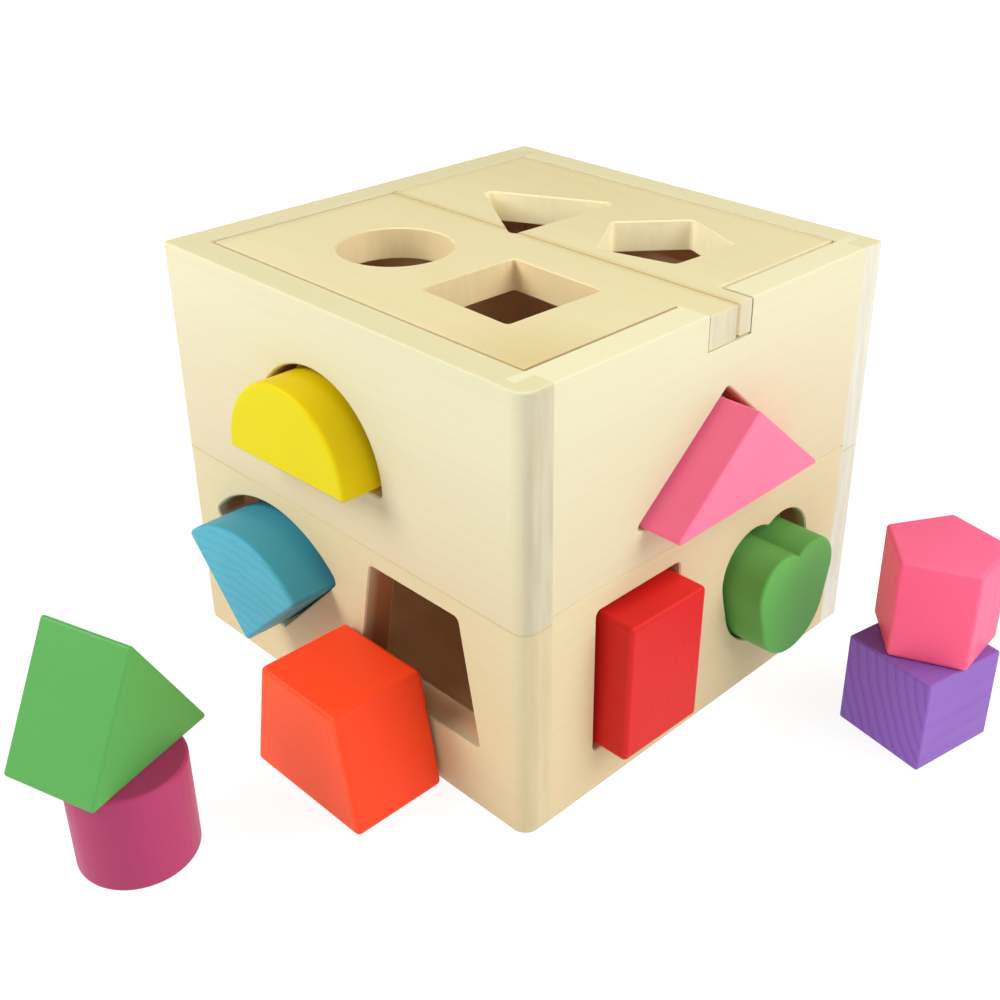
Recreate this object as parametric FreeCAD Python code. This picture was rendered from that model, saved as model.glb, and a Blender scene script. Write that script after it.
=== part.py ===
import FreeCAD, Part
import math
import os

os.makedirs("parts", exist_ok=True)

V = FreeCAD.Vector

# ---- driving dimensions, millimetres -------------------------------------
BOX_SIDE = 141.0          # outside of the square box, along X and along Y
BOX_HEIGHT = 124.3        # floor to rim
WALL = 9.2                # wall board thickness
CORNER_R = 1.8            # rounding of three of the upright corners
FRONT_CORNER_R = 4.5      # the front right one is rounded more
RIM_R = 0.7               # rounding of the outer rim and foot edges
RIM_EASE = 0.2            # easing of the inner rim edge
SEAM_FRONT = 61.5         # glue line height, front and back walls
SEAM_SIDE = 63.5          # glue line height, left and right walls
SEAM_V = 0.5              # side of the little V left along each glue line

TONGUE_T = 3.2            # corner joint: tongue thickness
TONGUE_L = 6.0            # corner joint: tongue length
FLOOR_T = 5.0             # floor panel thickness
FLOOR_LAP = 4.5           # how far the floor panel laps into each wall

LID_T = 9.0               # lid board thickness
LID_GAP_NEAR = 1.6        # gap between the lid and the front and right walls
LID_GAP_FAR = 0.4         # gap between the lid and the back and left walls
TAB_GAP = 0.4             # gap beside the finger tab
LID_R = 0.3               # rounding of the lid's top edges
LID_FRONT_RECESS = 0.5    # front lid board top, below the rim
LID_REAR_RECESS = 0.1     # rear lid board top, below the rim
LID_SEAM_Y = 4.4          # glue line between the two lid boards
LID_SEAM_V = 1.6          # side of the V under that glue line
TAB_Y0 = -6.9             # finger tab, near end
TAB_Y1 = 9.8              # finger tab, far end
TAB_RECESS = 0.1          # tab end, inside the outer face
REST_GAP = 0.3            # lid underside to what it rests on
CLEAT_W = 8.0             # ledge depth under the lid
CLEAT_H = 7.0             # ledge height
CLEAT_L = 100.0           # ledge length
CLEAT_R = 1.5             # rounding of the ledges' inner edges

BLOCK_L = 28.3            # length the blocks are cut to
PENTAGON_L = 29.6         # the pentagon is a little longer
EDGE_R = {                # rounding of each block's edges
    "half_round": 1.2, "quarter_round": 1.2, "trapezoid": 1.5, "triangle": 0.8,
    "rectangle": 1.4, "heart": 1.0, "cylinder": 1.0, "cube": 0.8, "prism": 0.8,
    "pentagon": 1.2,
}
TIGHT = 0.6               # hole larger than its block, each side
CLOSE = 0.8
SNUG = 1.5
EASY = 2.0
LOOSE = 2.4
WIDE = 2.6
HOLE_EASE = 0.4           # chamfer round each hole on the outside

HALF_ROUND_R = 24.4
QUARTER_ROUND_R = 35.8
TRAPEZOID_BOTTOM = 44.2
TRAPEZOID_TOP = 31.2
TRAPEZOID_HEIGHT = 34.2
TRIANGLE_BASE = 60.5
TRIANGLE_HEIGHT = 26.0
TRIANGLE_APEX = 1.2       # apex to one side of the middle
RECTANGLE_W = 29.4
RECTANGLE_H = 41.0
HEART_LOBE_R = 10.5       # two lobe circles
HEART_LOBE_X = 6.8
HEART_LOBE_Y = 6.5
HEART_TIP_R = 15.0        # one round tip circle
HEART_TIP_Y = -2.1
CYLINDER_R = 15.2
CUBE_SIDE = 28.6
PRISM_SIDE = 40.6
PENTAGON_R = 17.5

# middle of each hole, along and up its wall; the flat or pointed foot for the outlines
# that are drawn from there
HALF_ROUND_AT = (-5.8, 80.5)
QUARTER_ROUND_AT = (-30.7, 18.3)
TRAPEZOID_AT = (30.1, 20.6)
TRIANGLE_AT = (1.0, 74.8)
RECTANGLE_AT = (-29.3, 35.2)
HEART_AT = (26.7, 33.5)

# middle of each lid hole, X and Y, and how far it is turned, degrees
CIRCLE_AT = (-22.8, -27.1, 0.0)
SQUARE_AT = (22.85, -27.55, -1.5)
PRISM_AT = (-18.05, 23.4, 177.0)
PENTAGON_AT = (25.8, 28.3, 175.7)
SQUARE_HOLE_R = 1.0       # corner rounding of the lid holes
PRISM_HOLE_R = 2.2
PENTAGON_HOLE_R = 1.5

# loose blocks on the table: X, Y and turn
CUBE_STANDS = (116.7, 38.1, -10.8)
PENTAGON_STANDS = (116.3, 42.6, 185.6)
CYLINDER_STANDS = (3.0, -140.2)
TRAPEZOID_STANDS = (18.4, -100.0)
PRISM_LIES = (-4.1, -140.4, 17.0)

HALF = BOX_SIDE / 2
INNER = HALF - WALL


# ---- outlines, drawn flat round their own centre --------------------------
def polygon(points):
    corners = [V(x, y, 0) for x, y in points]
    return Part.Face(Part.makePolygon(corners + corners[:1]))


def regular_polygon(sides, radius, turn):
    angles = [math.radians(turn + 360.0 * k / sides) for k in range(sides)]
    return polygon([(radius * math.cos(a), radius * math.sin(a)) for a in angles])


def rectangle(width, height):
    x, y = width / 2, height / 2
    return polygon([(-x, -y), (x, -y), (x, y), (-x, y)])


def disc(radius):
    return Part.Face(Part.Wire(Part.makeCircle(radius)))


def trapezoid():
    b, t, h = TRAPEZOID_BOTTOM / 2, TRAPEZOID_TOP / 2, TRAPEZOID_HEIGHT
    return polygon([(-b, 0), (b, 0), (t, h), (-t, h)])


def flat_triangle():
    return polygon([(-TRIANGLE_BASE / 2, 0), (TRIANGLE_BASE / 2, 0),
                    (TRIANGLE_APEX, TRIANGLE_HEIGHT)])


def pie(radius, start, end):
    """Slice of a disc between two angles; the point is at the origin."""
    at = [V(radius * math.cos(math.radians(a)), radius * math.sin(math.radians(a)), 0)
          for a in (start, (start + end) / 2, end)]
    edges = [Part.Arc(*at).toShape()]
    if end - start == 180:
        edges.append(Part.makeLine(at[2], at[0]))
    else:
        edges.append(Part.makeLine(at[2], V(0, 0, 0)))
        edges.append(Part.makeLine(V(0, 0, 0), at[0]))
    return Part.Face(Part.Wire(edges))


def on_lobe(centre, angle):
    return centre + V(math.cos(angle), math.sin(angle), 0) * HEART_LOBE_R


def heart():
    """Two lobes and a round tip, joined by their common tangents."""
    lobes = [V(-HEART_LOBE_X, HEART_LOBE_Y, 0), V(HEART_LOBE_X, HEART_LOBE_Y, 0)]
    tip = V(0, HEART_TIP_Y, 0)
    right = lobes[1] - tip
    lean = math.asin((HEART_TIP_R - HEART_LOBE_R) / right.Length)
    normal_at = math.atan2(right.y, right.x) - math.pi / 2 + lean
    n = V(math.cos(normal_at), math.sin(normal_at), 0)
    mirror = V(-n.x, n.y, 0)
    cusp_y = HEART_LOBE_Y + math.sqrt(HEART_LOBE_R ** 2 - HEART_LOBE_X ** 2)
    cusp = V(0, cusp_y, 0)
    low_r, low_l = tip + n * HEART_TIP_R, tip + mirror * HEART_TIP_R
    high_r, high_l = lobes[1] + n * HEART_LOBE_R, lobes[0] + mirror * HEART_LOBE_R
    top_r, top_l = lobes[1] + V(0, HEART_LOBE_R, 0), lobes[0] + V(0, HEART_LOBE_R, 0)
    outer, inner = math.radians(23), math.radians(107)
    edges = [
        Part.Arc(low_l, tip - V(0, HEART_TIP_R, 0), low_r).toShape(),
        Part.makeLine(low_r, high_r),
        Part.Arc(high_r, on_lobe(lobes[1], outer), top_r).toShape(),
        Part.Arc(top_r, on_lobe(lobes[1], inner), cusp).toShape(),
        Part.Arc(cusp, on_lobe(lobes[0], math.pi - inner), top_l).toShape(),
        Part.Arc(top_l, on_lobe(lobes[0], math.pi - outer), high_l).toShape(),
        Part.makeLine(high_l, low_l),
    ]
    return Part.Face(Part.Wire(edges))


# ---- where things go -------------------------------------------------------
def frame_on(origin, right, up, out):
    return FreeCAD.Placement(origin, FreeCAD.Rotation(right, up, out, "XYZ"))


FRONT = frame_on(V(0, -HALF, 0), V(1, 0, 0), V(0, 0, 1), V(0, -1, 0))
RIGHT = frame_on(V(HALF, 0, 0), V(0, 1, 0), V(0, 0, 1), V(1, 0, 0))
TOP = frame_on(V(0, 0, BOX_HEIGHT), V(1, 0, 0), V(0, 1, 0), V(0, 0, 1))


def at(frame, u, v, w=0.0, turn=0.0):
    """Placement at (u, v) on a face, w out from it, turned in its plane."""
    local = FreeCAD.Placement(V(u, v, w), FreeCAD.Rotation(V(0, 0, 1), turn))
    return frame.multiply(local)


def moved(shape, placement):
    copy = shape.copy()
    copy.Placement = placement.multiply(copy.Placement)
    return copy


def box(x0, x1, y0, y1, z0, z1):
    return Part.makeBox(x1 - x0, y1 - y0, z1 - z0, V(x0, y0, z0))


# ---- holes and blocks --------------------------------------------------------
def grown(face, by, corner=None):
    """The outline moved outwards all round. Its corners get the radius corner, or by."""
    round_joins, sharp_joins = 0, 2
    wire = face.OuterWire
    if corner is not None:
        wire = wire.makeOffset2D(by - corner, sharp_joins, False, False)
        by = corner
    return Part.Face(wire.makeOffset2D(by, round_joins, False, False))


def hole_tool(face, clearance, depth, corner=None):
    """A through cut, a touch wider right at the outer face."""
    inner = grown(face, clearance, corner)
    mouth = grown(face, clearance + HOLE_EASE, corner and corner + HOLE_EASE)
    low = moved(inner, FreeCAD.Placement(V(0, 0, -depth - 2), FreeCAD.Rotation()))
    shaft = low.extrude(V(0, 0, depth + 3))
    slope_bottom = moved(inner, FreeCAD.Placement(V(0, 0, -HOLE_EASE), FreeCAD.Rotation()))
    rim = Part.makeLoft([slope_bottom.OuterWire, mouth.OuterWire], True, True)
    return shaft.fuse(rim)


def block(name, face, length=BLOCK_L):
    """A prism cut to length, every edge but a cusp rounded."""
    solid = face.extrude(V(0, 0, length))
    edges = [e for e in solid.Edges if not is_cusp(e)]
    return solid.makeFillet(EDGE_R[name], edges)


def is_cusp(edge):
    a, b = edge.Vertexes[0].Point, edge.Vertexes[-1].Point
    upright = abs(a.z - b.z) > 1
    smooth_or_cusp = abs(a.x) < 0.01 and a.y > 10
    return upright and smooth_or_cusp


# ---- box ------------------------------------------------------------------------
def envelope():
    body = box(-HALF, HALF, -HALF, HALF, 0, BOX_HEIGHT)
    uprights = [e for e in body.Edges if e.BoundBox.ZLength > 1]
    front = [e for e in uprights if e.CenterOfMass.x > 0 and e.CenterOfMass.y < 0]
    others = [e for e in uprights if e.CenterOfMass.x < 0 or e.CenterOfMass.y > 0]
    body = body.makeFillet(FRONT_CORNER_R, front)
    others = [e for e in body.Edges if any(e.CenterOfMass.isEqual(o.CenterOfMass, 0.01)
                                           for o in others)]
    body = body.makeFillet(CORNER_R, others)
    level = [e for e in body.Edges if e.BoundBox.ZLength < 0.01]
    return body.makeFillet(RIM_R, level)


def rim_easing():
    """Sloping cut that takes the sharpness off the inner rim edge."""
    wide = INNER + 2 * RIM_EASE
    cut = box(-wide, wide, -wide, wide, BOX_HEIGHT - RIM_EASE, BOX_HEIGHT + RIM_EASE)
    low = [e for e in cut.Edges if e.BoundBox.ZMax < BOX_HEIGHT]
    return cut.makeChamfer(2 * RIM_EASE - 0.001, low)


def seam_groove(z, along):
    """Fine V along a glue line on the outside of one pair of walls."""
    bar = Part.makeBox(SEAM_V, BOX_SIDE + 2, SEAM_V, V(-SEAM_V / 2, -HALF - 1, -SEAM_V / 2))
    bar.rotate(V(0, 0, 0), V(0, 1, 0), 45)
    if along == "X":
        bar.rotate(V(0, 0, 0), V(0, 0, 1), 90)
        sides = [V(0, -HALF, z), V(0, HALF, z)]
    else:
        sides = [V(-HALF, 0, z), V(HALF, 0, z)]
    bars = []
    for side in sides:
        one = bar.copy()
        one.translate(side)
        bars.append(one)
    return bars[0].fuse(bars[1])


def long_wall():
    """Front wall: full width, with a slot near each end for the tongues."""
    wall = box(-HALF, HALF, -HALF, -INNER, 0, BOX_HEIGHT)
    for x0 in (INNER, -INNER - TONGUE_T):
        slot = box(x0, x0 + TONGUE_T, -INNER - TONGUE_L, -INNER, -1, BOX_HEIGHT + 1)
        wall = wall.cut(slot)
    return wall


def short_wall():
    """Right wall: fits between the long walls, a tongue at each end."""
    wall = box(INNER, HALF, -INNER, INNER, 0, BOX_HEIGHT)
    tongues = box(INNER, INNER + TONGUE_T, -INNER - TONGUE_L, INNER + TONGUE_L, 0, BOX_HEIGHT)
    return wall.fuse(tongues)


def finished(wall, cuts):
    lap = INNER + FLOOR_LAP
    wall = wall.common(envelope())
    for cut in [box(-lap, lap, -lap, lap, -1, FLOOR_T), rim_easing()] + cuts:
        wall = wall.cut(cut)
    return wall.removeSplitter()


def split(wall, seam):
    lower = wall.common(box(-HALF, HALF, -HALF, HALF, -1, seam))
    upper = wall.common(box(-HALF, HALF, -HALF, HALF, seam, BOX_HEIGHT + 1))
    return lower, upper


# ---- outlines and their places --------------------------------------------------
half_round = pie(HALF_ROUND_R, 0, 180)
quarter_round = pie(QUARTER_ROUND_R, 45, 135)
square = rectangle(CUBE_SIDE, CUBE_SIDE)
bar = rectangle(RECTANGLE_W, RECTANGLE_H)
round_disc = disc(CYLINDER_R)
equal_triangle = regular_polygon(3, PRISM_SIDE / math.sqrt(3), 0)
pentagon = regular_polygon(5, PENTAGON_R, 0)

half_round_hole = moved(hole_tool(half_round, SNUG, WALL), at(FRONT, *HALF_ROUND_AT))
quarter_round_hole = moved(hole_tool(quarter_round, WIDE, WALL), at(FRONT, *QUARTER_ROUND_AT))
trapezoid_hole = moved(hole_tool(trapezoid(), SNUG, WALL), at(FRONT, *TRAPEZOID_AT))
triangle_hole = moved(hole_tool(flat_triangle(), SNUG, WALL), at(RIGHT, *TRIANGLE_AT))
rectangle_hole = moved(hole_tool(bar, SNUG, WALL), at(RIGHT, *RECTANGLE_AT))
heart_hole = moved(hole_tool(heart(), LOOSE, WALL), at(RIGHT, *HEART_AT))

LID_DEPTH = LID_T + LID_FRONT_RECESS


def lid_hole(face, clearance, corner, place, recess):
    x, y, turn = place
    return moved(hole_tool(face, clearance, LID_DEPTH, corner), at(TOP, x, y, -recess, turn))


circle_hole = lid_hole(round_disc, CLOSE, None, CIRCLE_AT, LID_FRONT_RECESS)
square_hole = lid_hole(square, EASY, SQUARE_HOLE_R, SQUARE_AT, LID_FRONT_RECESS)
prism_hole = lid_hole(equal_triangle, TIGHT, PRISM_HOLE_R, PRISM_AT, LID_REAR_RECESS)
pentagon_hole = lid_hole(pentagon, EASY, PENTAGON_HOLE_R, PENTAGON_AT, LID_REAR_RECESS)

# ---- walls -------------------------------------------------------------------------
notch = box(INNER - 1, HALF + 1, TAB_Y0 - TAB_GAP, TAB_Y1 + TAB_GAP,
            BOX_HEIGHT - LID_FRONT_RECESS - LID_T - REST_GAP, BOX_HEIGHT + 1)
front_groove = seam_groove(SEAM_FRONT, "X")
side_groove = seam_groove(SEAM_SIDE, "Y")

front = finished(long_wall(), [half_round_hole, quarter_round_hole, trapezoid_hole, front_groove])
back = finished(long_wall().mirror(V(0, 0, 0), V(0, 1, 0)), [front_groove])
right = finished(short_wall(), [triangle_hole, rectangle_hole, heart_hole, notch, side_groove])
left = finished(short_wall().mirror(V(0, 0, 0), V(1, 0, 0)), [side_groove])

nodes = {}
for name, wall, seam in (("front", front, SEAM_FRONT), ("back", back, SEAM_FRONT),
                         ("left", left, SEAM_SIDE), ("right", right, SEAM_SIDE)):
    nodes[name + "_board_lower"], nodes[name + "_board_upper"] = split(wall, seam)

lap = INNER + FLOOR_LAP
nodes["floor_panel"] = box(-lap, lap, -lap, lap, 0, FLOOR_T)


# ---- lid and the ledges under it --------------------------------------------------
def lid_board(y0, y1, tab_y0, tab_y1, recess, holes):
    top = BOX_HEIGHT - recess
    left_edge, right_edge = LID_GAP_FAR - INNER, INNER - LID_GAP_NEAR
    board = box(left_edge, right_edge, y0, y1, top - LID_T, top)
    tab = box(right_edge - 1, HALF - TAB_RECESS, tab_y0, tab_y1, top - LID_T, top)
    board = board.fuse(tab).removeSplitter()
    arris = [e for e in board.Edges
             if e.BoundBox.ZMin > top - 0.01 and abs(e.CenterOfMass.y - LID_SEAM_Y) > 0.01]
    board = board.makeFillet(LID_R, arris)
    bevel = Part.makeBox(LID_SEAM_V, BOX_SIDE, LID_SEAM_V, V(-LID_SEAM_V / 2, -HALF, -LID_SEAM_V / 2))
    bevel.rotate(V(0, 0, 0), V(0, 1, 0), 45)
    bevel.rotate(V(0, 0, 0), V(0, 0, 1), 90)
    bevel.translate(V(0, LID_SEAM_Y, top - LID_T))
    for cut in [bevel] + holes:
        board = board.cut(cut)
    return board.removeSplitter()


nodes["lid_board_front"] = lid_board(LID_GAP_NEAR - INNER, LID_SEAM_Y, TAB_Y0, LID_SEAM_Y,
                                     LID_FRONT_RECESS, [circle_hole, square_hole, prism_hole])
nodes["lid_board_rear"] = lid_board(LID_SEAM_Y, INNER - LID_GAP_FAR, LID_SEAM_Y, TAB_Y1,
                                    LID_REAR_RECESS, [prism_hole, pentagon_hole])


def cleat(side, recess):
    top = BOX_HEIGHT - recess - LID_T - REST_GAP
    y0, y1 = sorted((side * INNER, side * (INNER - CLEAT_W)))
    bar = box(-CLEAT_L / 2, CLEAT_L / 2, y0, y1, top - CLEAT_H, top)
    inner_edges = [e for e in bar.Edges
                   if abs(e.CenterOfMass.y - side * (INNER - CLEAT_W)) < 0.01]
    return bar.makeFillet(CLEAT_R, inner_edges)


nodes["lid_ledge_front"] = cleat(-1, LID_FRONT_RECESS)
nodes["lid_ledge_rear"] = cleat(1, LID_REAR_RECESS)


# ---- blocks in their holes ----------------------------------------------------------
def in_hole(name, face, frame, u, v, stands_out, turn):
    """Block pushed part-way into a hole, its front standing out of the wall."""
    nodes[name + "_block"] = moved(block(name, face), at(frame, u, v, stands_out - BLOCK_L, turn))


in_hole("half_round", half_round, FRONT, -6.3, 80.0, 10.2, 1.8)
in_hole("quarter_round", quarter_round, FRONT, -31.0, 16.4, 12.5, -2.2)
in_hole("triangle", flat_triangle(), RIGHT, 0.2, 73.9, 11.5, 1.0)
in_hole("rectangle", bar, RIGHT, -28.8, 34.3, 9.5, -1.4)
in_hole("heart", heart(), RIGHT, 26.5, 31.4, 11.5, 0.0)

# ---- loose blocks round the box ----------------------------------------------------
ON_TABLE = frame_on(V(0, 0, 0), V(1, 0, 0), V(0, 1, 0), V(0, 0, 1))


def on_table(name, face, place, height=0.0, length=BLOCK_L):
    """Block standing on its end, on the table or on another block."""
    x, y, *turn = place
    nodes[name + "_block"] = moved(block(name, face, length), at(ON_TABLE, x, y, height, *turn))


on_table("cube", square, CUBE_STANDS)
on_table("pentagon", pentagon, PENTAGON_STANDS, BLOCK_L, PENTAGON_L)
on_table("cylinder", round_disc, CYLINDER_STANDS)

x, y = TRAPEZOID_STANDS
facing_front = frame_on(V(x, y, 0), V(1, 0, 0), V(0, 0, 1), V(0, -1, 0))
nodes["trapezoid_block"] = moved(block("trapezoid", trapezoid()), at(facing_front, 0, 0, -BLOCK_L))

x, y, turn = PRISM_LIES
axis = V(math.cos(math.radians(turn)), math.sin(math.radians(turn)), 0)
lying = frame_on(V(x, y, BLOCK_L), V(0, 0, 1), V(axis.y, -axis.x, 0), axis)
foot = PRISM_SIDE / (2 * math.sqrt(3))
nodes["prism_block"] = moved(block("prism", equal_triangle), at(lying, foot, 0, -BLOCK_L / 2))

for name, shape in nodes.items():
    shape.exportStep("parts/" + name + ".step")
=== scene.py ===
import bpy
import math
from functools import partial
from mathutils import Matrix, Vector


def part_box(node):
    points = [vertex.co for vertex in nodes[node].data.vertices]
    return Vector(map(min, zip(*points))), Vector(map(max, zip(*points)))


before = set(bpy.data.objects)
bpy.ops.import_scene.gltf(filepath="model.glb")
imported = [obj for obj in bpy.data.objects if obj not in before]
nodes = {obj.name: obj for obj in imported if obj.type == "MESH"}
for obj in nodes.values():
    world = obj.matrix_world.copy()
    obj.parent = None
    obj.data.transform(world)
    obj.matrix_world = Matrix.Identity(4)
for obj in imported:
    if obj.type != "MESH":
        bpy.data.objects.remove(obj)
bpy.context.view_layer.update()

MM = 0.001
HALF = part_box("front_board_upper")[1][0]            # half of the box's side
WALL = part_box("front_board_upper")[1][1] + HALF     # thickness of a wall
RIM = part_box("front_board_upper")[1][2]             # height of the box
LID_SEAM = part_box("lid_board_front")[1][1]          # Y of the glue line in the lid
INSIDE_FACE = HALF - WALL


# ---- small helper for node trees ---------------------------------------------
class Tree:
    """A material's node tree, with one short call per kind of node."""

    def __init__(self, name):
        self.mat = bpy.data.materials.new(name)
        self.mat.use_nodes = True
        self.nodes = self.mat.node_tree.nodes
        self.links = self.mat.node_tree.links
        self.nodes.clear()

    def add(self, kind, **props):
        node = self.nodes.new("ShaderNode" + kind)
        for key, value in props.items():
            setattr(node, key, value)
        return node

    def put(self, socket, value):
        if isinstance(value, bpy.types.NodeSocket):
            self.links.new(value, socket)
        elif isinstance(value, (tuple, list)) and len(value) == 3 and socket.type == "RGBA":
            socket.default_value = (*value, 1.0)
        else:
            socket.default_value = value

    def coords(self, kind):
        return self.add("TexCoord").outputs[kind]

    def axes(self, kind):
        """X, Y and Z of the Object coordinates or of the Normal."""
        split = self.add("SeparateXYZ")
        self.put(split.inputs[0], self.coords(kind))
        return tuple(split.outputs)

    def math(self, op, a, b=0.0, clamp=False):
        node = self.add("Math", operation=op, use_clamp=clamp)
        self.put(node.inputs[0], a)
        self.put(node.inputs[1], b)
        return node.outputs[0]

    def times(self, a, b):
        return self.math("MULTIPLY", a, b)

    def invert(self, a):
        return self.math("SUBTRACT", 1.0, a)

    def vector(self, op, a, b=(0, 0, 0), out=0):
        node = self.add("VectorMath", operation=op)
        self.put(node.inputs[0], a)
        self.put(node.inputs[1], b)
        return node.outputs[out]

    def scaled(self, vector, scale):
        return self.vector("MULTIPLY", vector, scale)

    def length(self, vector):
        return self.vector("LENGTH", vector, out=1)

    def noise(self, vector, scale=1.0, detail=3.0, rough=0.55):
        node = self.add("TexNoise")
        self.put(node.inputs["Vector"], vector)
        node.inputs["Scale"].default_value = scale
        node.inputs["Detail"].default_value = detail
        node.inputs["Roughness"].default_value = rough
        return node.outputs[0]

    def span(self, value, low, high, to_low=0.0, to_high=1.0):
        """Value from low..high mapped to to_low..to_high, held at the ends."""
        node = self.add("MapRange", clamp=True)
        for socket, v in zip(node.inputs[:5], (value, low, high, to_low, to_high)):
            self.put(socket, v)
        return node.outputs[0]

    def ramp(self, value, stops):
        node = self.add("ValToRGB")
        self.put(node.inputs[0], value)
        elements = node.color_ramp.elements
        while len(elements) < len(stops):
            elements.new(0.5)
        for element, (pos, shade) in zip(elements, stops):
            element.position = pos
            element.color = (shade, shade, shade, 1.0)
        return node.outputs[0]

    def mix(self, amount, a, b, blend="MIX"):
        node = self.add("Mix", data_type="RGBA", blend_type=blend)
        colour = [s for s in node.inputs if s.type == "RGBA"]
        self.put(node.inputs[0], amount)
        self.put(colour[0], a)
        self.put(colour[1], b)
        return [s for s in node.outputs if s.type == "RGBA"][0]

    def tint(self, amount, colour, factor):
        """The colour times factor, where amount is 1."""
        return self.mix(amount, colour, self.mix(1.0, colour, factor, "MULTIPLY"))

    def bump(self, height, distance):
        node = self.add("Bump")
        node.inputs["Strength"].default_value = 1.0
        node.inputs["Distance"].default_value = distance
        self.put(node.inputs["Height"], height)
        return node.outputs[0]

    def surface(self, colour, rough, normal, specular, glow=None):
        shader = self.add("BsdfPrincipled")
        self.put(shader.inputs["Base Color"], colour)
        self.put(shader.inputs["Roughness"], rough)
        self.put(shader.inputs["Normal"], normal)
        shader.inputs["Specular IOR Level"].default_value = specular
        if glow is not None:
            shader.inputs["Emission Color"].default_value = (1, 1, 1, 1)
            self.put(shader.inputs["Emission Strength"], glow)
        out = self.add("OutputMaterial")
        self.links.new(shader.outputs[0], out.inputs[0])
        return self.mat


def linear(r, g, b):
    """Screen colour 0..255 to the linear values that the shader takes."""
    def one(v):
        v /= 255.0
        return v / 12.92 if v <= 0.04045 else ((v + 0.055) / 1.055) ** 2.4
    return (one(r), one(g), one(b))


# ---- palette -----------------------------------------------------------------
CREAM = [linear(213, 207, 174), linear(209, 204, 170), linear(214, 202, 170)]
CREAM_LOW = linear(211, 196, 162)
WARM = [linear(213, 201, 160), linear(210, 197, 155), linear(213, 195, 157)]
WARM_LOW = linear(209, 188, 147)
# painted light: each upper wall's rim tone is lighter or darker by how much the lamps light
# that rim, the right rim lightest
RIM_TONES_PAINTED_LIGHT = {"front": linear(225, 216, 169), "right": linear(238, 231, 189),
             "back": linear(230, 220, 176), "left": linear(226, 215, 169)}
LID = [linear(231, 219, 173), linear(227, 213, 165), linear(227, 208, 159)]
# painted light: the walls of the lid's holes get lighter tones that stand in for light they
# miss, the rear board's lightest
LID_CUT_PAINTED_LIGHT_FRONT = linear(236, 214, 166)
LID_CUT_PAINTED_LIGHT_REAR = linear(252, 240, 198)
# painted shade: dark brown on the lid's outer sides, where the gap round the lid is in shade
GAP_PAINTED_SHADE = linear(150, 98, 52)
# painted shade: the inner wall faces and the parts inside the box get darker, redder tones for
# the shade inside the closed box
INSIDE = [linear(234, 192, 144), linear(226, 180, 130), linear(218, 166, 116)]
HOLLOW_PAINTED_SHADE = linear(231, 190, 147)
END = linear(196, 188, 160)
END_LOW = linear(204, 188, 150)
END_FAR = linear(214, 213, 200)
END_LID = linear(206, 199, 172)

# factors that darken a tone: RING_SHADE and PORE_SHADE in the grain, the others as painted
# shade
# painted shade on the cut faces of the wall holes round the blocks
CUT_PAINTED_SHADE = (0.55, 0.36, 0.24)
# painted shade in the groove along the walls' glue line
SEAM_PAINTED_SHADE = (0.86, 0.81, 0.72)
RING_SHADE = (0.90, 0.80, 0.66)
PORE_SHADE = (0.90, 0.885, 0.86)
# painted shade along the lid's glue line and on the step between its boards
LID_VALLEY_PAINTED_SHADE = (0.82, 0.76, 0.64)
LID_STEP_PAINTED_SHADE = (0.72, 0.66, 0.56)
# painted shade on the strip of lid beside the rear and left rims
LID_RIM_PAINTED_SHADE = (0.95, 0.92, 0.88)
# painted shade on the lid near the front right corner
LID_CORNER_PAINTED_SHADE = (0.90, 0.86, 0.74)

# how plain the painted shade in the glue-line groove is on walls that lie across X and across
# Y
SEAM_WEIGHT = {"X": 0.25, "Y": 1.0}


# ---- solid wood: the figure runs through the piece like the real thing ------
def grain_space(tree, turns, seed):
    """Object coordinates and normal with X along the grain. turns is an XYZ rotation in
    degrees, and seed sets how far the pith is from the piece."""
    rotation = [math.radians(a) for a in turns]
    place = tree.add("Mapping", vector_type="POINT")
    place.inputs["Rotation"].default_value = rotation
    place.inputs["Location"].default_value = seed
    tree.put(place.inputs["Vector"], tree.coords("Object"))
    normal = tree.add("Mapping", vector_type="NORMAL")
    normal.inputs["Rotation"].default_value = rotation
    tree.put(normal.inputs["Vector"], tree.coords("Normal"))
    return place.outputs[0], normal.outputs[0]


def rings(tree, at, spacing, waviness, waves=38.0):
    """Growth rings round a pith that runs along X: 0 in early wood, 1 in late wood."""
    shift = tree.noise(tree.scaled(at, (0.12, 1.0, 1.0)), waves, 2.0)
    radius = tree.length(tree.scaled(at, (0.0, 1.0, 1.0)))
    radius = tree.math("ADD", radius, tree.times(shift, waviness))
    phase = tree.math("FRACT", tree.math("DIVIDE", radius, spacing))
    return tree.ramp(phase, ((0.0, 0.25), (0.12, 0.0), (0.55, 0.18), (0.88, 1.0), (1.0, 0.25)))


def end_grain(tree, normal, low):
    """1 on faces that cut across the grain, 0 on faces along it."""
    along = tree.math("ABSOLUTE", tree.vector("DOT_PRODUCT", normal, (1, 0, 0), out=1))
    return tree.span(along, low, 0.9)


def edge_mask(tree, radius):
    """1 on edges, 0 on flats: where a rounded normal leaves the true one. Bare wood is worn
    there; paint is worn there and gets a painted highlight.
    """
    soft = tree.add("Bevel", samples=6)
    soft.inputs["Radius"].default_value = radius
    true = tree.add("NewGeometry")
    agree = tree.vector("DOT_PRODUCT", soft.outputs[0], true.outputs["Normal"], out=1)
    return tree.span(agree, 0.995, 0.86)


def facing_up(tree):
    """1 on faces that look up."""
    return tree.span(tree.axes("Normal")[2], 0.45, 0.9)


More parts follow.
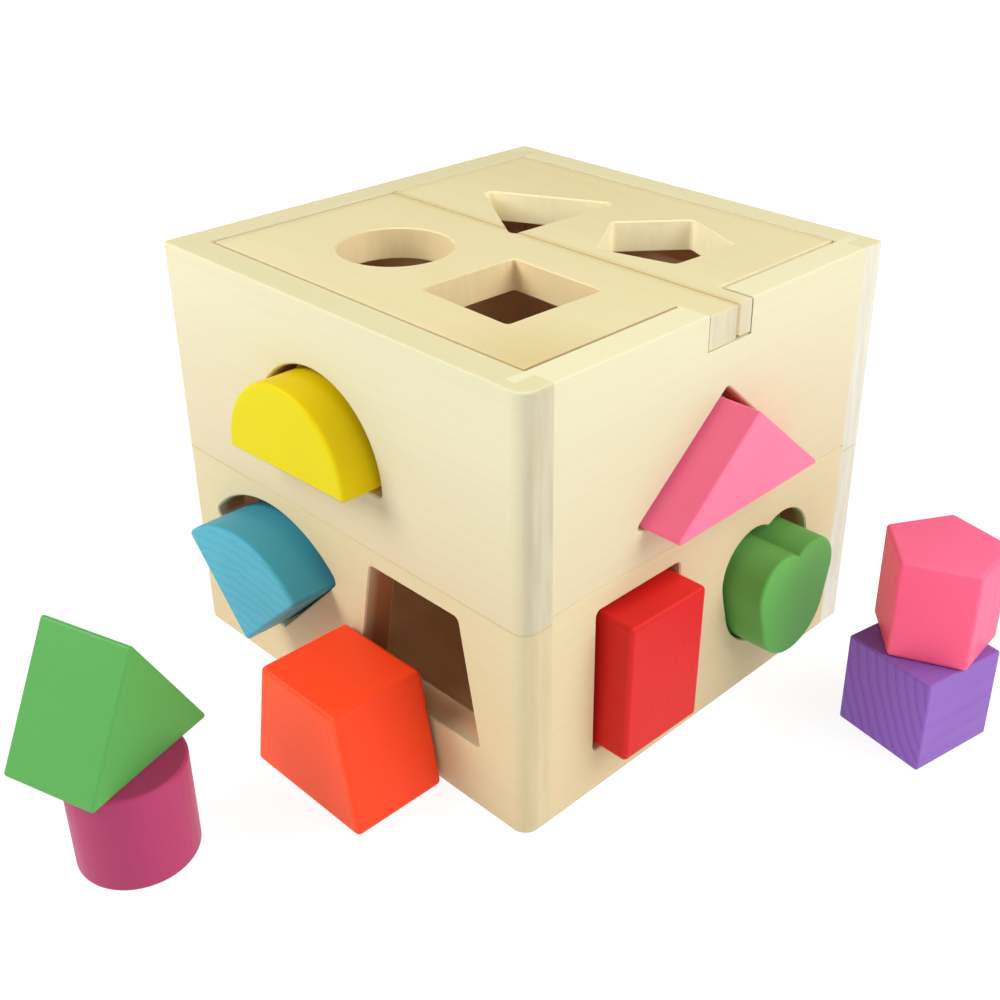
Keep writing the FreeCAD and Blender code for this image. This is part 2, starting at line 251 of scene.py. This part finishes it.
# ---- the walls' and the lid's own tones ----------------------------------------
def wall_masks(tree, axis):
    """Two masks. The first is 1 on a wall's inner face and 0 on its outer face, its rim and
    its two ends. The second is 1 inside the thickness of a wall, where its holes are cut."""
    x, y, z = tree.axes("Object")
    across, beside = (x, y) if axis == "X" else (y, x)
    across = tree.math("ABSOLUTE", across)
    depth = tree.span(across, HALF - 0.5 * MM, HALF - 4.0 * MM)
    off_ends = tree.math("LESS_THAN", tree.math("ABSOLUTE", beside), INSIDE_FACE)
    below_rim = tree.math("LESS_THAN", z, RIM - 12.0 * MM)
    inner = tree.times(depth, tree.times(off_ends, below_rim))
    within = tree.math("GREATER_THAN", across, INSIDE_FACE + 0.1 * MM)
    return inner, tree.times(inner, within)


def wall_drift(tree, colour, broad, top, bottom, tone, rim_tone):
    """A board turns to tone from the height top down to bottom, and to rim_tone where it
    looks up. On the upper boards rim_tone is painted light: lighter on the rims the lamps
    light more."""
    height = tree.math("ADD", tree.axes("Object")[2], tree.times(broad, 12.0 * MM))
    colour = tree.mix(tree.span(height, top, bottom), colour, tone)
    return tree.mix(tree.times(facing_up(tree), 0.85), colour, rim_tone)


def wall_shade(tree, colour, pores, axis, seam):
    """Painted shade: a darker, redder tone on the box's inner faces, a dark one on the cut
    faces of the holes, and a darker one in the groove along the glue line.
    """
    inner, within = wall_masks(tree, axis)
    # painted shade on the box's inner faces
    colour = tree.mix(tree.times(inner, 0.9), colour, HOLLOW_PAINTED_SHADE)
    # painted shade on the cut faces of the holes
    colour = tree.tint(tree.times(within, tree.invert(facing_up(tree))), colour, CUT_PAINTED_SHADE)
    # painted shade in the glue-line groove
    off = tree.math("ABSOLUTE", tree.math("SUBTRACT", tree.axes("Object")[2], seam))
    groove = tree.span(off, 0.2 * MM, 0.45 * MM, 1.0, 0.0)
    return tree.tint(tree.times(groove, SEAM_WEIGHT[axis]), colour, SEAM_PAINTED_SHADE)


def lid_side(tree, right, front):
    """Where the gap's painted shade goes: the lid's upright outer faces, right on those across
    X and front on those across Y. 0 on its top, in its holes and on the tab's end."""
    x, y, z = tree.axes("Object")
    reach = tree.math("MAXIMUM", tree.math("ABSOLUTE", x), tree.math("ABSOLUTE", y))
    outer = tree.span(reach, INSIDE_FACE - 3.2 * MM, INSIDE_FACE - 2.4 * MM)
    off_tab = tree.span(reach, INSIDE_FACE + 1.0 * MM, INSIDE_FACE + 3.0 * MM, 1.0, 0.0)
    across_y = tree.math("ABSOLUTE", tree.axes("Normal")[1])
    weight = tree.span(across_y, 0.2, 0.8, right, front)
    return tree.times(tree.times(outer, off_tab), weight)


def lid_shade(tree, colour, pores, cut_painted_light, gap_shade_weight):
    """Painted light and shade on the lid: a lighter tone on the walls of the holes, painted
    shade on the sides in the gap round the lid (gap_shade_weight: how much at the right end
    and along the front), along the glue line and its step, beside the rear and left rims, and
    near the front right corner."""
    x, y, z = tree.axes("Object")
    upright = tree.invert(facing_up(tree))
    to_seam = tree.math("ABSOLUTE", tree.math("SUBTRACT", y, LID_SEAM))
    cut_face = tree.times(upright, tree.span(to_seam, 0.9 * MM, 1.2 * MM))
    off_tab = tree.span(x, INSIDE_FACE, INSIDE_FACE + 2.0 * MM, 1.0, 0.0)
    # painted light: the hole walls take the lighter cut colour, with grain in it
    cut = tree.mix(tree.span(pores, 0.36, 0.66, 0.0, 0.6), cut_painted_light,
                   tuple(0.92 * c for c in cut_painted_light))
    colour = tree.mix(tree.times(cut_face, off_tab), colour, cut)
    # painted shade in the gap round the lid
    colour = tree.mix(tree.times(cut_face, lid_side(tree, *gap_shade_weight)), colour, GAP_PAINTED_SHADE)

    # painted shade in the soft valley along the glue line and on the step face
    valley = tree.span(to_seam, 0.6 * MM, 2.6 * MM, 0.45, 0.0)
    colour = tree.tint(valley, colour, LID_VALLEY_PAINTED_SHADE)
    step = tree.times(tree.span(to_seam, 0.3 * MM, 0.9 * MM, 1.0, 0.0), upright)
    colour = tree.tint(step, colour, LID_STEP_PAINTED_SHADE)

    # painted shade beside the rear and left rims
    far_side = tree.math("MAXIMUM", tree.times(x, -1.0), y)
    painted_rim_shade = tree.span(far_side, INSIDE_FACE - 4.0 * MM, INSIDE_FACE - 1.0 * MM)
    colour = tree.tint(painted_rim_shade, colour, LID_RIM_PAINTED_SHADE)
    # painted shade near the front right corner of the lid
    corner = (INSIDE_FACE, -INSIDE_FACE, RIM)
    to_corner = tree.vector("DISTANCE", tree.coords("Object"), corner, out=1)
    near = tree.span(to_corner, 8.0 * MM, 34.0 * MM, 1.0, 0.0)
    return tree.tint(near, colour, LID_CORNER_PAINTED_SHADE)


# ---- the two kinds of material ---------------------------------------------------
def bare_wood(name, tones, turns, seed, spacing, figure, end_tone, drift=None, shade=None):
    """Sanded, unvarnished pale wood. tones: light, greener and pinker. spacing: millimetres
    between rings. figure: how plain they are. drift changes the tone of the bare board (on the
    upper rims with painted light), and shade paints light and shade into the finished colour."""
    tree = Tree(name)
    at, normal = grain_space(tree, turns, seed)
    ring = rings(tree, at, spacing * MM, 5.0 * MM)
    fibre = tree.noise(tree.scaled(at, (22.0, 640.0, 640.0)), 1.0, 4.0, 0.62)
    broad = tree.noise(tree.scaled(at, (7.0, 30.0, 30.0)), 1.0, 2.0, 0.45)
    patches = tree.noise(tree.scaled(at, (6.0, 16.0, 16.0)), 1.0, 2.0, 0.45)
    colour = tree.mix(tree.span(broad, 0.34, 0.66, 0.0, 0.8), tones[0], tones[1])
    colour = tree.mix(tree.span(patches, 0.42, 0.68, 0.0, 0.75), colour, tones[2])
    if drift:
        colour = drift(tree, colour, broad)
    colour = tree.tint(tree.times(ring, figure), colour, RING_SHADE)
    streak = tree.span(fibre, 0.3, 0.75, 1.008, 0.982)
    colour = tree.mix(1.0, colour, streak, "MULTIPLY")

    end = end_grain(tree, normal, 0.55)
    pores = tree.noise(tree.scaled(at, (40.0, 420.0, 46.0)), 1.0, 2.0, 0.5)
    darker_end = tuple(a * b for a, b in zip(end_tone, PORE_SHADE))
    end_colour = tree.mix(tree.span(pores, 0.36, 0.66), end_tone, darker_end)
    end_colour = tree.mix(tree.span(patches, 0.4, 0.7, 0.0, 0.4), end_colour, tones[2])
    colour = tree.mix(end, colour, end_colour)
    if shade:
        colour = shade(tree, colour, pores)

    worn = edge_mask(tree, 0.8 * MM)
    colour = tree.mix(tree.times(worn, 0.3), colour, tones[2])
    rough = tree.span(fibre, 0.3, 0.7, 0.5, 0.6)
    rough = tree.math("ADD", rough, tree.times(end, 0.12))
    rough = tree.math("SUBTRACT", rough, tree.times(worn, 0.08))
    height = tree.math("ADD", tree.times(fibre, 0.7), tree.times(ring, 0.2))
    return tree.surface(colour, rough, tree.bump(height, 0.03 * MM), 0.22)


def painted_wood(name, end_tone, side_tone, deep, turns, seed, spacing=2.2, figure=0.03,
                 relief=0.03, waves=38.0, specular=0.16):
    """Water-based toy paint over wood: end_tone on end grain, side_tone on long grain, deep
    where the paint is thick in the grain. The end and side tones differ partly as paint on end
    and long grain and partly as painted light and shade, set to how the lamps light those
    faces.
    spacing: millimetres between rings. figure: how plain they are. relief: millimetres that
    the
    grain stands up. waves: how fast the rings waver."""
    tree = Tree(name)
    at, normal = grain_space(tree, turns, seed)
    ring = rings(tree, at, spacing * MM, 4.0 * MM, waves)
    fibre = tree.noise(tree.scaled(at, (30.0, 700.0, 700.0)), 1.0, 3.0, 0.55)
    cloud = tree.noise(at, 42.0, 2.0, 0.45)
    skin = tree.noise(at, 900.0, 2.0, 0.5)
    end = end_grain(tree, normal, 0.6)
    shade = tree.times(ring, tree.span(end, 0.0, 1.0, 0.15 * figure, figure))
    shade = tree.math("ADD", shade, tree.times(tree.span(fibre, 0.45, 0.8), 0.03))
    shade = tree.math("ADD", shade, tree.span(cloud, 0.38, 0.7, 0.0, 0.14), clamp=True)
    colour = tree.mix(shade, tree.mix(end, side_tone, end_tone), deep)
    # painted highlight and wear: the paint is lighter on its edges
    rubbed_and_highlit = tree.times(edge_mask(tree, 0.9 * MM), tree.span(cloud, 0.3, 0.6, 0.1, 0.26))
    colour = tree.mix(rubbed_and_highlit, colour, tuple(min(1.0, 0.85 * c + 0.12) for c in side_tone))
    grain = tree.math("ADD", fibre, tree.times(ring, 0.3))
    roughness = tree.span(grain, 0.3, 1.0, 0.38, 0.5)
    height = tree.math("ADD", tree.times(ring, figure), tree.times(fibre, 0.4))
    height = tree.math("ADD", height, tree.times(skin, 0.3))
    return tree.surface(colour, roughness, tree.bump(height, relief * MM), specular)


# ---- materials on the nodes -----------------------------------------------------
ALONG_X = (0, 0, 0)
ALONG_Y = (0, 0, -90)
ALONG_Z = (0, 90, 0)
WITH_THE_PRISM = (0, 0, -17.0)
WITH_THE_CUBE = (0, 0, -79.2)


def dress(name, material):
    nodes[name].material_slots[0].material = material


def dress_walls():
    for wall, turns, axis, upper_seed, lower_seed in (
        ("front", ALONG_X, "Y", (0.11, 0.092, -0.03), (0.43, 0.118, 0.012)),
        ("back", ALONG_X, "Y", (0.71, -0.108, -0.02), (0.93, -0.086, 0.03)),
        ("right", ALONG_Y, "X", (0.27, 0.096, -0.02), (0.59, 0.123, 0.02)),
        ("left", ALONG_Y, "X", (0.37, -0.104, -0.01), (0.83, -0.09, 0.02)),
    ):
        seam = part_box(wall + "_board_upper")[0][2]
        upper_end, lower_end = (END_FAR, END_FAR) if wall == "back" else (END, END_LOW)
        shade = partial(wall_shade, axis=axis, seam=seam)
        # the upper boards' rim tone is painted light
        upper_drift = partial(wall_drift, top=RIM - 8 * MM, bottom=seam, tone=CREAM_LOW,
                              rim_tone=RIM_TONES_PAINTED_LIGHT[wall])
        lower_drift = partial(wall_drift, top=seam, bottom=0.0, tone=WARM_LOW,
                              rim_tone=WARM[0])
        dress(wall + "_board_upper",
              bare_wood(wall + "_upper_wood", CREAM, turns, upper_seed, 3.6, 0.06,
                        upper_end, upper_drift, shade))
        dress(wall + "_board_lower",
              bare_wood(wall + "_lower_wood", WARM, turns, lower_seed, 3.1, 0.08,
                        lower_end, lower_drift, shade))


def dress_lid_and_inside():
    # the gap weights set how much painted shade the gap gets on each lid board
    front_shade = partial(lid_shade, cut_painted_light=LID_CUT_PAINTED_LIGHT_FRONT, gap_shade_weight=(0.42, 0.15))
    rear_shade = partial(lid_shade, cut_painted_light=LID_CUT_PAINTED_LIGHT_REAR, gap_shade_weight=(0.12, 0.0))
    for node, tones, seed, spacing, figure, end_tone, shade in (
        ("lid_board_front", LID, (0.15, 0.01, -0.2), 4.2, 0.06, END_LID, front_shade),
        ("lid_board_rear", LID, (0.55, -0.03, -0.17), 3.6, 0.06, END_LID, rear_shade),
        # the ledges and the floor inside the box take the darker, redder tone of painted shade
        ("lid_ledge_front", INSIDE, (0.2, 0.1, -0.07), 2.8, 0.3, END, None),
        ("lid_ledge_rear", INSIDE, (0.4, -0.1, -0.08), 2.8, 0.3, END, None),
        ("floor_panel", INSIDE, (0.6, 0.02, 0.06), 5.5, 0.4, END, None),
    ):
        dress(node, bare_wood(node + "_wood", tones, ALONG_X, seed, spacing, figure,
                              end_tone, shade=shade))


def paint(shape, colour, end, side, deep, turns, seed, **grain):
    dress(shape + "_block",
          painted_wood(colour + "_paint", linear(*end), linear(*side), linear(*deep),
                       turns, seed, **grain))


dress_walls()
dress_lid_and_inside()
# each block's end and side colours differ partly as paint on end and long grain and partly as
# painted light and shade of those faces; the orange-red block's paler end colour is partly a
# painted sheen
paint("half_round", "yellow", (215, 200, 8), (225, 196, 12), (203, 180, 5),
      ALONG_Y, (0.03, 0.01, -0.088), spacing=2.1, figure=0.07, specular=0.08)
paint("quarter_round", "blue", (77, 167, 187), (69, 155, 176), (45, 121, 143),
      ALONG_Y, (0.05, -0.03, 0.07), spacing=3.2, figure=0.20, relief=0.05, waves=170)
paint("triangle", "pink", (251, 121, 151), (255, 120, 156), (246, 94, 126),
      ALONG_X, (0.07, -0.02, -0.02), spacing=2.0)
paint("rectangle", "red", (207, 29, 24), (214, 36, 31), (186, 24, 19),
      ALONG_X, (0.02, 0.06, -0.02), spacing=2.0, figure=0.04)
paint("heart", "leaf_green", (98, 175, 80), (96, 159, 77), (66, 126, 50),
      ALONG_X, (0.04, -0.07, -0.02), figure=0.05)
paint("trapezoid", "orange_red", (255, 86, 39), (250, 70, 32), (238, 58, 24),
      ALONG_Y, (0.09, 0.02, -0.03))
paint("prism", "green", (88, 161, 81), (88, 161, 81), (74, 145, 63),
      WITH_THE_PRISM, (0.06, 0.12, -0.09), spacing=2.4, figure=0.04)
paint("cylinder", "magenta", (172, 58, 101), (172, 58, 101), (156, 50, 92),
      ALONG_Z, (0.08, 0.11, 0.02), spacing=2.0)
paint("cube", "purple", (142, 98, 191), (142, 99, 183), (109, 64, 156),
      WITH_THE_CUBE, (0.02, 0.1655, -0.040), spacing=3.3, figure=0.45, relief=0.05)
paint("pentagon", "coral_pink", (255, 116, 152), (255, 100, 138), (241, 77, 112),
      ALONG_Z, (0.03, -0.10, -0.03), figure=0.04)


# ---- floor and light -------------------------------------------------------------
def pale_floor():
    """A flat floor just under the box, 10 m wide, in an even grid."""
    size, steps = 5.0, 24
    across = [size * (2 * i / steps - 1) for i in range(steps + 1)]
    verts = [(x, y, -0.05 * MM) for y in across for x in across]
    faces = []
    for j in range(steps):
        for i in range(steps):
            a = j * (steps + 1) + i
            faces.append((a, a + 1, a + steps + 2, a + steps + 1))
    mesh = bpy.data.meshes.new("studio_floor")
    mesh.from_pydata(verts, [], faces)
    floor = bpy.data.objects.new("studio_floor", mesh)
    bpy.context.scene.collection.objects.link(floor)
    tree = Tree("floor_paint")
    coords = tree.coords("Object")
    tone = tree.mix(tree.noise(coords, 3.0, 2.0), (0.19, 0.19, 0.19), (0.21, 0.21, 0.21))
    glow = tree.span(tree.length(coords), 0.2, 0.6, 0.88, 0.97)
    grit = tree.bump(tree.noise(coords, 60.0), 0.02 * MM)
    mesh.materials.append(tree.surface(tone, 0.9, grit, 0.1, glow))


def softbox(name, azimuth, elevation, distance, size, power):
    """A square area light that looks at the middle of the box."""
    aim = Vector((0.01, -0.02, 0.05))
    a, e = math.radians(azimuth), math.radians(elevation)
    toward = Vector((math.cos(a) * math.cos(e), math.sin(a) * math.cos(e), math.sin(e)))
    light = bpy.data.lights.new(name, "AREA")
    light.shape = "SQUARE"
    light.size = size
    light.energy = power
    lamp = bpy.data.objects.new(name, light)
    lamp.location = aim + distance * toward
    lamp.rotation_euler = toward.to_track_quat("Z", "Y").to_euler()
    bpy.context.scene.collection.objects.link(lamp)


def studio_sky(horizon, zenith):
    """A grey sky, bright at the horizon and dim from a low height upwards."""
    world = bpy.data.worlds.new("studio_sky")
    bpy.context.scene.world = world
    world.use_nodes = True
    sky, links = world.node_tree.nodes, world.node_tree.links
    sky.clear()
    coords = sky.new("ShaderNodeTexCoord")
    split = sky.new("ShaderNodeSeparateXYZ")
    height = sky.new("ShaderNodeMapRange")
    back = sky.new("ShaderNodeBackground")
    out = sky.new("ShaderNodeOutputWorld")
    for socket, v in zip(height.inputs[1:5], (0.04, 0.2, horizon, zenith)):
        socket.default_value = v
    links.new(coords.outputs["Generated"], split.inputs[0])
    links.new(split.outputs["Z"], height.inputs[0])
    links.new(height.outputs[0], back.inputs["Strength"])
    links.new(back.outputs[0], out.inputs[0])


pale_floor()
studio_sky(1.2, 0.08)
softbox("softbox_left", -125, 36, 1.0, 0.55, 8.9)
softbox("softbox_right", 25, 39, 1.0, 0.85, 9.9)
softbox("softbox_front", -46, 32, 1.2, 0.8, 2.4)


# ---- camera ------------------------------------------------------------------------
EYE = Vector((0.2493, -0.2483, 0.2448))
AZIMUTH, ELEVATION, ROLL = math.radians(44.08), math.radians(28.01), math.radians(0.28)
SENSOR, LENS = 36.0, 47.9016        # millimetres
SHIFT_X, SHIFT_Y = -0.0463, -0.0459


def add_camera():
    """A camera at EYE that looks AZIMUTH to the left of +Y and ELEVATION down."""
    ahead = Vector((-math.sin(AZIMUTH) * math.cos(ELEVATION),
                    math.cos(AZIMUTH) * math.cos(ELEVATION), -math.sin(ELEVATION)))
    level = ahead.cross(Vector((0, 0, 1))).normalized()
    above = level.cross(ahead)
    right = level * math.cos(ROLL) + above * math.sin(ROLL)
    up = above * math.cos(ROLL) - level * math.sin(ROLL)
    lens = bpy.data.cameras.new("camera")
    lens.sensor_width = SENSOR
    lens.lens = LENS
    lens.shift_x = SHIFT_X
    lens.shift_y = SHIFT_Y
    lens.clip_start = 0.01
    camera = bpy.data.objects.new("camera", lens)
    turn = Matrix((right, up, -ahead)).transposed().to_4x4()
    camera.matrix_world = Matrix.Translation(EYE) @ turn
    bpy.context.scene.collection.objects.link(camera)
    bpy.context.scene.camera = camera


add_camera()
bpy.context.scene.view_settings.view_transform = "Standard"
